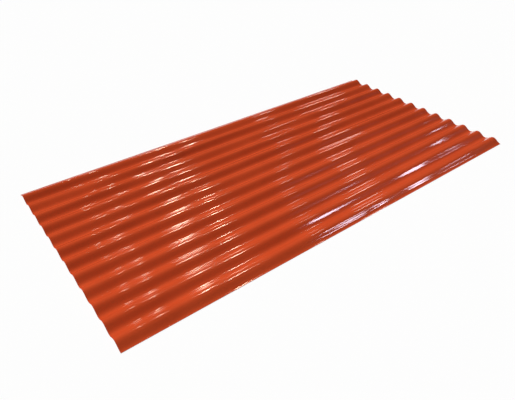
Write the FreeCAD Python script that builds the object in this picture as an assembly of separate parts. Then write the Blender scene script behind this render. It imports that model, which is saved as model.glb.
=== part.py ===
"""Corrugated roofing sheet: one extruded sheet of even thickness, stored lying flat.

Millimetres, +Z up. The corrugations run along X. The origin is on the floor,
under the middle of the sheet, where a trough runs along the centre line.
The section is a sine wave, drawn as arcs that run smoothly into each other.
"""

import FreeCAD
import Part
import math
import os

# Driving dimensions
sheet_length = 1828.8
sheet_width = 914.4
sheet_thickness = 1.0
wave_pitch = 76.2
wave_depth = 18.0  # over both faces

arc_pairs_per_half_wave = 4

# Worked out from them, at the middle of the thickness
half_pitch = wave_pitch / 2
half_rise = (wave_depth - sheet_thickness) / 2


def wave_direction(y):
    """Direction in which the wave runs at the distance y from the centre line, in the YZ plane."""
    slope = math.atan(math.pi / half_pitch * half_rise * math.sin(math.pi * y / half_pitch))
    return FreeCAD.Vector(0, math.cos(slope), math.sin(slope))


def square_to(direction):
    """Upward direction at right angles to a direction of the YZ plane."""
    return FreeCAD.Vector(0, -direction.z, direction.y)


def wave_point(y, offset):
    """The point that lies offset above mid-thickness at y, measured square to the wave."""
    height = wave_depth / 2 - half_rise * math.cos(math.pi * y / half_pitch)
    return FreeCAD.Vector(0, y, height) + square_to(wave_direction(y)) * offset


def arc(start, direction, end):
    """Arc between two points that lies along direction at its start."""
    chord = end - start
    towards_centre = square_to(direction)
    radius = chord.dot(chord) / (2 * chord.dot(towards_centre))
    centre = start + towards_centre * radius
    outwards = (start + end) / 2 - centre
    middle = centre + outwards * (abs(radius) / outwards.Length)
    return Part.Arc(start, middle, end).toShape()


def arc_pair(start_y, end_y, offset):
    """Two arcs that follow one face from start_y to end_y and share their direction where they meet."""
    start, end = wave_point(start_y, offset), wave_point(end_y, offset)
    start_direction, end_direction = wave_direction(start_y), wave_direction(end_y)
    chord = end - start
    forward = 2 * chord.dot(start_direction + end_direction)
    turn = 2 * (1 - start_direction.dot(end_direction))
    # both ends' tangents get the one length that makes a common tangent of the line between their tips
    reach = 2 * chord.dot(chord) / (forward + math.sqrt(forward ** 2 + 4 * turn * chord.dot(chord)))
    meeting = (start + start_direction * reach + end - end_direction * reach) / 2
    return [arc(start, start_direction, meeting), arc(end, end_direction, meeting)]


def stations():
    """Places across the sheet that the arc pairs run between, from one long edge to the other."""
    edge = sheet_width / 2
    bends_each_side = math.floor((edge - sheet_thickness) / half_pitch)
    bends = [n * half_pitch for n in range(-bends_each_side, bends_each_side + 1)]
    ends = [-edge] + bends + [edge]
    places = [-edge]
    for start, end in zip(ends, ends[1:]):
        step = (end - start) / arc_pairs_per_half_wave
        places += [start + step * (n + 1) for n in range(arc_pairs_per_half_wave)]
    return places


def face_edges(offset):
    """One face of the sheet as a chain of arcs, from -Y to +Y."""
    places = stations()
    return [edge for start, end in zip(places, places[1:]) for edge in arc_pair(start, end, offset)]


def cross_section():
    """The wave between its two faces, cut square at both long edges."""
    half_wall = sheet_thickness / 2
    edge_cuts = [
        Part.LineSegment(wave_point(y, -half_wall), wave_point(y, half_wall)).toShape()
        for y in (-sheet_width / 2, sheet_width / 2)
    ]
    outline = face_edges(half_wall) + face_edges(-half_wall) + edge_cuts
    return Part.Face(Part.Wire(Part.__sortEdges__(outline)))


def corrugated_sheet():
    """The cross-section drawn out along the whole length."""
    section = cross_section()
    section.translate(FreeCAD.Vector(-sheet_length / 2, 0, 0))
    return section.extrude(FreeCAD.Vector(sheet_length, 0, 0))


os.makedirs("parts", exist_ok=True)
sheet = corrugated_sheet()
sheet.exportStep("parts/corrugated_sheet.step")
steepest = wave_direction(half_pitch / 2)
print("steepest slope", round(math.degrees(math.atan2(steepest.z, steepest.y)), 2), "degrees")
print("volume cm3", round(sheet.Volume / 1000, 1), "box", sheet.BoundBox)
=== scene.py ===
import math

import bmesh
import bpy
from mathutils import Matrix, Vector


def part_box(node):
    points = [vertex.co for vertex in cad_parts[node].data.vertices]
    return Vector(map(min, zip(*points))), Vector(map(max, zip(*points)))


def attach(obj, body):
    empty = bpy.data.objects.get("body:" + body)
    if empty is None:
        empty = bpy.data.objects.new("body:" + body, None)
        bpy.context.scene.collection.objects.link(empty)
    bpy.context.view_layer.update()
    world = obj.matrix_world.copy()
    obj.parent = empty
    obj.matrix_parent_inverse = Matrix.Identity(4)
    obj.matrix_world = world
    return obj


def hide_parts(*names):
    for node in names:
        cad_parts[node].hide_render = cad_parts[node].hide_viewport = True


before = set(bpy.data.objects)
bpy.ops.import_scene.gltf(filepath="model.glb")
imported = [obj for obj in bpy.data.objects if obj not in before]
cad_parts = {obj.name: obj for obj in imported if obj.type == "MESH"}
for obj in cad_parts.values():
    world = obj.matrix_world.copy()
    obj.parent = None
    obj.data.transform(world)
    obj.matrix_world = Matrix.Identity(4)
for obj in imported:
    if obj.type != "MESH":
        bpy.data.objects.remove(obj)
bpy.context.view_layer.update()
sheetLow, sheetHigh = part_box("corrugated_sheet")
sheetLength = sheetHigh.x - sheetLow.x
sheetWidth = sheetHigh.y - sheetLow.y
waveDepth = sheetHigh.z - sheetLow.z
print("frame loaded, sheet", round(sheetLength, 4), "by", round(sheetWidth, 4), "by", round(waveDepth, 4))


# Small helpers

def deselectAll():
    if bpy.context.object and bpy.context.object.mode != "OBJECT":
        bpy.ops.object.mode_set(mode="OBJECT")
    bpy.ops.object.select_all(action="DESELECT")


def makeActive(piece):
    deselectAll()
    piece.select_set(True)
    bpy.context.view_layer.objects.active = piece


def applyPlace(piece):
    makeActive(piece)
    bpy.ops.object.transform_apply(location=True, rotation=True, scale=True)


def applyModifiers(piece):
    makeActive(piece)
    for modifier in list(piece.modifiers):
        bpy.ops.object.modifier_apply(modifier=modifier.name)


def direction(azimuth, elevation):
    # azimuth 0 is +Y, 90 is +X; both in degrees
    turn, lift = math.radians(azimuth), math.radians(elevation)
    return Vector((math.sin(turn) * math.cos(lift), math.cos(turn) * math.cos(lift), math.sin(lift)))


# The sheet

sheet = {
    "pitch": 0.0762,
    "wall": 0.001,
    "bendRadius": 0.0185,     # crest and trough, at the middle of the wall
    "bendAngle": 44,          # degrees that the tight bend turns
    "shoulderRadius": 0.040,  # the gentler bends on both sides of it
    "bendSteps": 9,
    "shoulderSteps": 4,
    "lengthSteps": 72,
    "rimBevel": 0.0002,
    "sharpAngle": 30,         # degrees past which an edge is bevelled and not shaded smooth
    "ease": 0.0003,           # room left above and below for the ripple
    "rippleHeight": 0.0006,   # from its lowest to its highest
    "rippleSize": 0.075,      # metres across the waves
    "rippleStretch": 4,       # times longer along them
    "sameRow": 1e-6,          # metres within which points lie in one row
    "joinReach": 1e-5,        # metres within which the points of two waves become one
}


def waveShape():
    # the bends' centres, seen from a crest at half height, and the slope where the wave is steepest
    halfRise = (waveDepth - sheet["wall"]) / 2
    turned = math.radians(sheet["bendAngle"] / 2)
    bendHeight = halfRise - sheet["bendRadius"]
    extra = sheet["shoulderRadius"] - sheet["bendRadius"]
    shoulderY = -extra * math.sin(turned)
    shoulderHeight = bendHeight - extra * math.cos(turned)
    reach = math.hypot(sheet["pitch"] / 4 - shoulderY, -shoulderHeight)
    lean = math.atan2(sheet["pitch"] / 4 - shoulderY, -shoulderHeight)
    steepest = lean - math.acos(sheet["shoulderRadius"] / reach)
    flankRun = 2 * (sheet["pitch"] / 4 - shoulderY - sheet["shoulderRadius"] * math.sin(steepest))
    return turned, bendHeight, shoulderY, shoulderHeight, steepest, flankRun


def selectFarEdge(piece):
    # the row of points that lies furthest along Y
    mesh = bmesh.from_edit_mesh(piece.data)
    furthest = max(point.co.y for point in mesh.verts)
    for point in mesh.verts:
        point.select = point.co.y > furthest - sheet["sameRow"]
    mesh.select_flush_mode()
    bmesh.update_edit_mesh(piece.data)


def bendEdge(piece, centreY, height, angle, steps):
    selectFarEdge(piece)
    centre = (0, centreY, waveDepth / 2 + height)
    bpy.ops.mesh.spin(steps=steps, angle=angle, center=centre, axis=(1, 0, 0))


def makeWave(firstCrest):
    # one wave grown along Y: rising flank, crest, falling flank, trough
    turned, bendHeight, shoulderY, shoulderHeight, steepest, flankRun = waveShape()
    shoulderTurn = steepest - turned
    bpy.ops.mesh.primitive_grid_add(
        x_subdivisions=sheet["lengthSteps"], y_subdivisions=2, size=1,
        location=(0, firstCrest - sheet["pitch"] / 4, waveDepth / 2), rotation=(steepest, 0, 0))
    piece = bpy.context.object
    piece.scale = (sheetLength, flankRun / math.cos(steepest), 1)
    applyPlace(piece)
    bpy.ops.object.mode_set(mode="EDIT")
    bpy.ops.mesh.select_mode(type="VERT")
    for middle, side in ((firstCrest, 1), (firstCrest + sheet["pitch"] / 2, -1)):
        if side < 0:
            selectFarEdge(piece)
            fall = (0, flankRun / 2, -flankRun / 2 * math.tan(steepest))
            bpy.ops.mesh.extrude_edges_move(TRANSFORM_OT_translate={"value": fall})
            bpy.ops.mesh.extrude_edges_move(TRANSFORM_OT_translate={"value": fall})
        shoulderSteps = sheet["shoulderSteps"]
        bendEdge(piece, middle - shoulderY, side * shoulderHeight, side * shoulderTurn, shoulderSteps)
        bendEdge(piece, middle, side * bendHeight, side * 2 * turned, sheet["bendSteps"])
        bendEdge(piece, middle + shoulderY, side * shoulderHeight, side * shoulderTurn, shoulderSteps)
    bpy.ops.object.mode_set(mode="OBJECT")
    return piece


def addRipple(piece):
    # slow unevenness that lies along the waves, as the sheet has from handling
    texture = bpy.data.textures.new("handlingRipple", type="CLOUDS")
    texture.noise_scale = sheet["rippleSize"]
    texture.noise_depth = 0
    bpy.ops.object.empty_add(location=(0, 0, 0))
    ruler = bpy.context.object
    ruler.scale = (sheet["rippleStretch"], 1, 1)
    bpy.context.view_layer.update()
    ripple = piece.modifiers.new("ripple", "DISPLACE")
    ripple.texture = texture
    ripple.texture_coords = "OBJECT"
    ripple.texture_coords_object = ruler
    ripple.direction = "Z"
    ripple.mid_level = 0.5
    ripple.strength = sheet["rippleHeight"]
    applyModifiers(piece)
    bpy.data.objects.remove(ruler)


def makeSheet():
    deselectAll()
    # one wave more than the sheet has, because both long edges are cut back afterwards
    waves = round(sheetWidth / sheet["pitch"]) + 1
    piece = makeWave(-waves * sheet["pitch"] / 2)
    piece.name = "sheet_skin"

    row = piece.modifiers.new("row", "ARRAY")
    row.count = waves
    row.use_relative_offset = False
    row.use_constant_offset = True
    row.constant_offset_displace = (0, sheet["pitch"], 0)
    row.use_merge_vertices = True
    row.merge_threshold = sheet["joinReach"]
    applyModifiers(piece)

    bpy.ops.object.mode_set(mode="EDIT")
    for side in (-1, 1):      # both long edges are cut straight down
        bpy.ops.mesh.select_all(action="SELECT")
        bpy.ops.mesh.bisect(plane_co=(0, side * sheetWidth / 2, 0), plane_no=(0, side, 0), clear_outer=True)
    bpy.ops.mesh.select_all(action="SELECT")
    flatter = 1 - 2 * sheet["ease"] / (waveDepth - sheet["wall"])
    bpy.ops.transform.resize(value=(1, 1, flatter), center_override=(0, 0, waveDepth / 2))
    bpy.ops.mesh.normals_make_consistent(inside=False)
    bpy.ops.object.mode_set(mode="OBJECT")
    if piece.data.polygons[0].normal.z < 0:
        piece.data.flip_normals()

    addRipple(piece)
    wall = piece.modifiers.new("wall", "SOLIDIFY")
    wall.thickness = sheet["wall"]
    wall.offset = 0

    rim = piece.modifiers.new("rim", "BEVEL")
    rim.width = sheet["rimBevel"]
    rim.segments = 1
    rim.limit_method = "ANGLE"
    rim.angle_limit = math.radians(sheet["sharpAngle"])
    applyModifiers(piece)
    bpy.ops.object.shade_smooth_by_angle(angle=math.radians(sheet["sharpAngle"]))
    return piece


skin = makeSheet()
print("sheet made,", sum(len(face.vertices) - 2 for face in skin.data.polygons), "triangles")


# Finishes

# a noise has the size of its grains in metres along X, Y and Z, and the span that its mask runs over
plastic = {
    "colour": (0.61, 0.072, 0.019),
    "deepColour": (0.57, 0.065, 0.0165),
    "cloud": {"size": (0.16, 0.16, 0.16), "detail": 2, "span": (0.3, 0.7)},     # patches of the two
    "ior": 1.58,

    "gloss": (0.04, 0.07),    # roughness along the die lines, lowest and highest
    "line": {"size": (0.9, 0.006, 0.006), "detail": 3, "span": (0.3, 0.7)},
    "lineDepth": 0.0000025,
    "smudge": {"size": (0.09, 0.09, 0.09), "detail": 4, "span": (0.55, 0.75)},
    "smudgeGloss": 0.03,      # roughness that a handled patch adds
    "peel": {"size": (0.007, 0.007, 0.007), "detail": 1, "span": (0.2, 0.8)},
    "peelDepth": 0.000001,

    # one worn patch, how far its rim is from its middle along X, Y and Z, and the roughness it adds there
    "worn": {"middle": (-0.57, -0.25, 0.009), "reach": (0.10, 0.15, 1)},
    "wornGloss": 0.07,

    # unevenness that only the reflections show: of the whole sheet, and of each wave by itself
    "sway": {"size": (0.30, 0.28, 0.28), "detail": 0, "span": (0.1, 0.9), "shift": (3.1, 7.7, 0)},
    "swayDepth": 0.0022,
    "twist": {"size": (0.50, 0.085, 0.5), "detail": 0, "span": (0.1, 0.9), "shift": (1.7, 4.3, 0)},
    "twistDepth": 0.0125,
    "twisted": {"middle": (0, 0.27, 0.009), "reach": (2.4, 0.50, 1)},   # fades out towards the near edge
}

cutEdge = {
    "colour": (0.47, 0.055, 0.02),
    "dustColour": (0.52, 0.09, 0.04),
    "roughness": (0.42, 0.62),
    "tooth": {"size": (0.0016, 0.0016, 0.025), "detail": 2, "span": (0.35, 0.65)},      # upright saw marks
    "toothDepth": 0.00006,
    "ior": 1.5,
}


def newMaterial(name):
    material = bpy.data.materials.new(name)
    material.use_nodes = True
    nodes = material.node_tree.nodes
    return material, nodes, material.node_tree.links, nodes["Principled BSDF"]


def makeStretchedNoise():
    # noise whose grains have their own size along X, Y and Z, as a mask from 0 to 1
    group = bpy.data.node_groups.new("stretchedNoise", "ShaderNodeTree")
    group.interface.new_socket("Grains per metre", in_out="INPUT", socket_type="NodeSocketVector")
    group.interface.new_socket("Shift", in_out="INPUT", socket_type="NodeSocketVector")
    group.interface.new_socket("Detail", in_out="INPUT", socket_type="NodeSocketFloat")
    group.interface.new_socket("Low", in_out="INPUT", socket_type="NodeSocketFloat")
    group.interface.new_socket("High", in_out="INPUT", socket_type="NodeSocketFloat")
    group.interface.new_socket("Mask", in_out="OUTPUT", socket_type="NodeSocketFloat")
    nodes, links = group.nodes, group.links
    entry = nodes.new("NodeGroupInput")
    leave = nodes.new("NodeGroupOutput")
    coords = nodes.new("ShaderNodeTexCoord")
    scale = nodes.new("ShaderNodeVectorMath")
    scale.operation = "MULTIPLY_ADD"
    noise = nodes.new("ShaderNodeTexNoise")
    noise.inputs["Scale"].default_value = 1
    spread = nodes.new("ShaderNodeMapRange")
    spread.interpolation_type = "SMOOTHSTEP"
    links.new(coords.outputs["Object"], scale.inputs[0])
    links.new(entry.outputs["Grains per metre"], scale.inputs[1])
    links.new(entry.outputs["Shift"], scale.inputs[2])
    links.new(scale.outputs[0], noise.inputs["Vector"])
    links.new(entry.outputs["Detail"], noise.inputs["Detail"])
    links.new(noise.outputs["Fac"], spread.inputs["Value"])
    links.new(entry.outputs["Low"], spread.inputs["From Min"])
    links.new(entry.outputs["High"], spread.inputs["From Max"])
    links.new(spread.outputs["Result"], leave.inputs["Mask"])
    return group


stretchedNoise = makeStretchedNoise()


def addNoise(nodes, noise):
    low, high = noise["span"]
    node = nodes.new("ShaderNodeGroup")
    node.node_tree = stretchedNoise
    node.inputs["Grains per metre"].default_value = [1 / size for size in noise["size"]]
    node.inputs["Shift"].default_value = noise.get("shift", (0, 0, 0))
    node.inputs["Detail"].default_value = noise["detail"]
    node.inputs["Low"].default_value = low
    node.inputs["High"].default_value = high
    return node


def addMix(nodes, links, mask, first, second):
    mix = nodes.new("ShaderNodeMix")
    mix.data_type = "RGBA"
    mix.inputs["A"].default_value = (*first, 1)
    mix.inputs["B"].default_value = (*second, 1)
    links.new(mask, mix.inputs["Factor"])
    return mix


def addRange(nodes, links, mask, low, high):
    spread = nodes.new("ShaderNodeMapRange")
    spread.inputs["To Min"].default_value = low
    spread.inputs["To Max"].default_value = high
    links.new(mask, spread.inputs["Value"])
    return spread


def addMath(nodes, links, operation, first, second):
    node = nodes.new("ShaderNodeMath")
    node.operation = operation
    links.new(first, node.inputs[0])
    links.new(second, node.inputs[1])
    return node


def addPatch(nodes, links, patch, value):
    # value in the middle of an oval patch, fading to nothing at its rim
    coords = nodes.new("ShaderNodeTexCoord")
    place = nodes.new("ShaderNodeVectorMath")
    place.operation = "SUBTRACT"
    place.inputs[1].default_value = patch["middle"]
    share = nodes.new("ShaderNodeVectorMath")
    share.operation = "DIVIDE"
    share.inputs[1].default_value = patch["reach"]
    away = nodes.new("ShaderNodeVectorMath")
    away.operation = "LENGTH"
    fade = nodes.new("ShaderNodeMapRange")
    fade.interpolation_type = "SMOOTHSTEP"
    fade.inputs["To Min"].default_value = value
    fade.inputs["To Max"].default_value = 0
    links.new(coords.outputs["Object"], place.inputs[0])
    links.new(place.outputs[0], share.inputs[0])
    links.new(share.outputs[0], away.inputs[0])
    links.new(away.outputs["Value"], fade.inputs["Value"])
    return fade


def addBump(nodes, links, height, depth, below=None):
    bump = nodes.new("ShaderNodeBump")
    bump.inputs["Strength"].default_value = 1
    bump.inputs["Distance"].default_value = depth
    links.new(height, bump.inputs["Height"])
    if below:
        links.new(below.outputs["Normal"], bump.inputs["Normal"])
    return bump


def plasticMaterial():
    material, nodes, links, shader = newMaterial("terracotta_plastic")
    shader.inputs["IOR"].default_value = plastic["ior"]

    cloud = addNoise(nodes, plastic["cloud"])
    colour = addMix(nodes, links, cloud.outputs["Mask"], plastic["deepColour"], plastic["colour"])
    links.new(colour.outputs["Result"], shader.inputs["Base Color"])

    line = addNoise(nodes, plastic["line"])
    gloss = addRange(nodes, links, line.outputs["Mask"], *plastic["gloss"])
    smudge = addNoise(nodes, plastic["smudge"])
    handled = addRange(nodes, links, smudge.outputs["Mask"], 0, plastic["smudgeGloss"])
    worn = addPatch(nodes, links, plastic["worn"], plastic["wornGloss"])
    dulled = addMath(nodes, links, "ADD", gloss.outputs["Result"], handled.outputs["Result"])
    roughness = addMath(nodes, links, "ADD", dulled.outputs[0], worn.outputs["Result"])
    links.new(roughness.outputs[0], shader.inputs["Roughness"])

    peel = addNoise(nodes, plastic["peel"])
    sway = addNoise(nodes, plastic["sway"])
    twist = addNoise(nodes, plastic["twist"])
    twisted = addPatch(nodes, links, plastic["twisted"], 1)
    twistHeight = addMath(nodes, links, "MULTIPLY", twist.outputs["Mask"], twisted.outputs["Result"])
    swayBump = addBump(nodes, links, sway.outputs["Mask"], plastic["swayDepth"])
    twistBump = addBump(nodes, links, twistHeight.outputs[0], plastic["twistDepth"], swayBump)
    peelBump = addBump(nodes, links, peel.outputs["Mask"], plastic["peelDepth"], twistBump)
    lineBump = addBump(nodes, links, line.outputs["Mask"], plastic["lineDepth"], peelBump)
    links.new(lineBump.outputs["Normal"], shader.inputs["Normal"])
    return material


def cutEdgeMaterial():
    material, nodes, links, shader = newMaterial("sawn_edge")
    shader.inputs["IOR"].default_value = cutEdge["ior"]
    teeth = addNoise(nodes, cutEdge["tooth"])
    colour = addMix(nodes, links, teeth.outputs["Mask"], cutEdge["colour"], cutEdge["dustColour"])
    links.new(colour.outputs["Result"], shader.inputs["Base Color"])
    dull = addRange(nodes, links, teeth.outputs["Mask"], *cutEdge["roughness"])
    links.new(dull.outputs["Result"], shader.inputs["Roughness"])
    bump = addBump(nodes, links, teeth.outputs["Mask"], cutEdge["toothDepth"])
    links.new(bump.outputs["Normal"], shader.inputs["Normal"])
    return material


def finishSheet(piece):
    piece.data.materials.append(plasticMaterial())
    piece.data.materials.append(cutEdgeMaterial())
    makeActive(piece)
    bpy.ops.object.mode_set(mode="EDIT")
    bpy.ops.mesh.select_mode(type="FACE")
    mesh = bmesh.from_edit_mesh(piece.data)
    # the sawn ends and the cut long edges, with their bevels, get the second material
    reachX = sheetLength / 2 - 2 * sheet["rimBevel"]
    reachY = sheetWidth / 2 - 2 * sheet["rimBevel"]
    for face in mesh.faces:
        middle = face.calc_center_median()
        face.select = abs(middle.x) > reachX or abs(middle.y) > reachY
    bmesh.update_edit_mesh(piece.data)
    piece.active_material_index = 1
    bpy.ops.object.material_slot_assign()
    bpy.ops.object.mode_set(mode="OBJECT")


finishSheet(skin)
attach(skin, "root")
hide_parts("corrugated_sheet")
print("sheet finished")


# Floor, light and camera

stage = {
    "floorSize": 60,
    "floorColour": (0.95, 0.95, 0.95),
    "floorGlow": 0.74,        # share of plain white that the camera sees on the floor
    "ambient": 0.04,
    "ambientColour": (1, 0.95, 0.86),
    "lampDistance": 60,
}

key = {"azimuth": -34.5, "elevation": 51.8, "strength": 3.8, "softness": 20}

cream = (1.0, 0.90, 0.70)
pale = (1.0, 0.92, 0.84)
cool = (0.90, 0.82, 1.0)
lamps = [
    # name, lean towards +X, turn about X from the far side over the top, width, height, brightness, colour
    ("lampA", 23.0, 72, 2.0, 5, 52, cream),
    ("lampB", 19.2, 46, 1.7, 7, 50, cream),
    ("lampC", 12.9, 50, 1.0, 6, 28, cream),
    ("lampD", 10.0, 52, 0.8, 6, 22, cream),
    ("lampE", 33.4, 68, 2.1, 5, 12, pale),
    ("lampF", 40.9, 60, 4.0, 7, 13, pale),
    ("lampG", 36.6, 115.4, 6.8, 2.2, 22, cool),
    ("lampH", 37.8, 118.9, 5.4, 0.7, 20, cool),
    ("lampI", 41.8, 117.0, 2.0, 0.7, 22, cool),
    ("lampJ", 46.2, 115.5, 2.4, 1.6, 20, cool),
    ("lampK", 50.4, 113.9, 2.8, 0.9, 18, cool),
    ("lampL", 51.3, 111.4, 2.4, 0.8, 18, cool),
    # wide and faint, around the streaks of the lamps above
    ("hazeG", 44.0, 114, 26, 9, 0.12, cool),
    ("rimA", 23.3, 72, 4.2, 6, 6, cream),
    ("rimB", 19.2, 46, 3.4, 9, 8, cream),
    ("rimC", 12.7, 50, 2.4, 8, 4, cream),
    # stands in for the key's own reflection, and shows mostly from other sides
    ("keyGloss", -20.5, 57, 18, 18, 3.5, pale),
]


def makeFloor():
    deselectAll()
    bpy.ops.mesh.primitive_plane_add(size=stage["floorSize"], location=(0, 0, 0))
    floor = bpy.context.object
    floor.name = "floor"
    material, nodes, links, shader = newMaterial("paleFloor")
    shader.inputs["Base Color"].default_value = (*stage["floorColour"], 1)
    shader.inputs["Roughness"].default_value = 1
    shader.inputs["Specular IOR Level"].default_value = 0
    glow = nodes.new("ShaderNodeEmission")
    glow.inputs["Color"].default_value = (1, 1, 1, 1)
    glow.inputs["Strength"].default_value = 1
    path = nodes.new("ShaderNodeLightPath")
    share = nodes.new("ShaderNodeMath")
    share.operation = "MULTIPLY"
    share.inputs[1].default_value = stage["floorGlow"]
    mix = nodes.new("ShaderNodeMixShader")
    links.new(path.outputs["Is Camera Ray"], share.inputs[0])
    links.new(share.outputs[0], mix.inputs[0])
    links.new(shader.outputs[0], mix.inputs[1])
    links.new(glow.outputs[0], mix.inputs[2])
    links.new(mix.outputs[0], nodes["Material Output"].inputs["Surface"])
    floor.data.materials.append(material)


def makeWorld():
    world = bpy.data.worlds.new("studio")
    bpy.context.scene.world = world
    world.use_nodes = True
    nodes, links = world.node_tree.nodes, world.node_tree.links
    background = nodes["Background"]
    background.inputs["Color"].default_value = (*stage["ambientColour"], 1)
    background.inputs["Strength"].default_value = stage["ambient"]
    white = nodes.new("ShaderNodeBackground")
    white.inputs["Strength"].default_value = 1
    white.inputs["Color"].default_value = (1, 1, 1, 1)
    path = nodes.new("ShaderNodeLightPath")
    mix = nodes.new("ShaderNodeMixShader")
    links.new(path.outputs["Is Camera Ray"], mix.inputs[0])
    links.new(background.outputs[0], mix.inputs[1])
    links.new(white.outputs[0], mix.inputs[2])
    links.new(mix.outputs[0], nodes["World Output"].inputs["Surface"])


def makeLamp(name, lean, turn, width, height, brightness, colour):
    # all angles in degrees, as seen from the middle of the sheet; the height runs around the X axis, so
    # that on every wave the lamp shows as a short streak along X
    distance = stage["lampDistance"]
    light = bpy.data.lights.new(name, "AREA")
    light.shape = "ELLIPSE"
    light.size = distance * math.radians(width)
    light.size_y = distance * math.radians(height)
    area = math.pi / 4 * light.size * light.size_y
    light.energy = brightness * math.pi * area      # so a larger lamp isn't dimmer where it is mirrored
    light.color = colour
    lamp = bpy.data.objects.new(name, light)
    bpy.context.scene.collection.objects.link(lamp)
    around = Vector((0, -math.sin(math.radians(turn)), math.cos(math.radians(turn))))
    inwards = Vector((0, math.cos(math.radians(turn)), math.sin(math.radians(turn))))
    towards = inwards * math.cos(math.radians(lean)) + Vector((math.sin(math.radians(lean)), 0, 0))
    axes = Matrix((around.cross(towards), around, towards)).transposed()
    lamp.location = towards * distance
    lamp.rotation_euler = axes.to_euler()
    lamp.visible_diffuse = False    # it shows in reflections only


def makeKey():
    # broad even light from the far left; keyGloss is mirrored in its place, too weak to clip to white
    light = bpy.data.lights.new("key", "SUN")
    light.energy = key["strength"]
    light.angle = math.radians(key["softness"])
    lamp = bpy.data.objects.new("key", light)
    bpy.context.scene.collection.objects.link(lamp)
    lamp.rotation_euler = direction(key["azimuth"], key["elevation"]).to_track_quat("Z", "Y").to_euler()
    lamp.visible_glossy = False


camera = {
    "place": (-1.106, -1.3194, 1.0964),
    "turn": (53.69, 0.27, -37.26),      # degrees
    "lens": 33.99,
    "sensor": 36,
}


def makeCamera():
    view = bpy.data.cameras.new("camera")
    view.lens = camera["lens"]
    view.sensor_width = camera["sensor"]
    eye = bpy.data.objects.new("camera", view)
    bpy.context.scene.collection.objects.link(eye)
    eye.location = camera["place"]
    eye.rotation_euler = [math.radians(turn) for turn in camera["turn"]]
    bpy.context.scene.camera = eye


makeFloor()
makeWorld()
makeKey()
for row in lamps:
    makeLamp(*row)
makeCamera()
bpy.context.scene.view_settings.view_transform = "Standard"
print("floor, light and camera set")
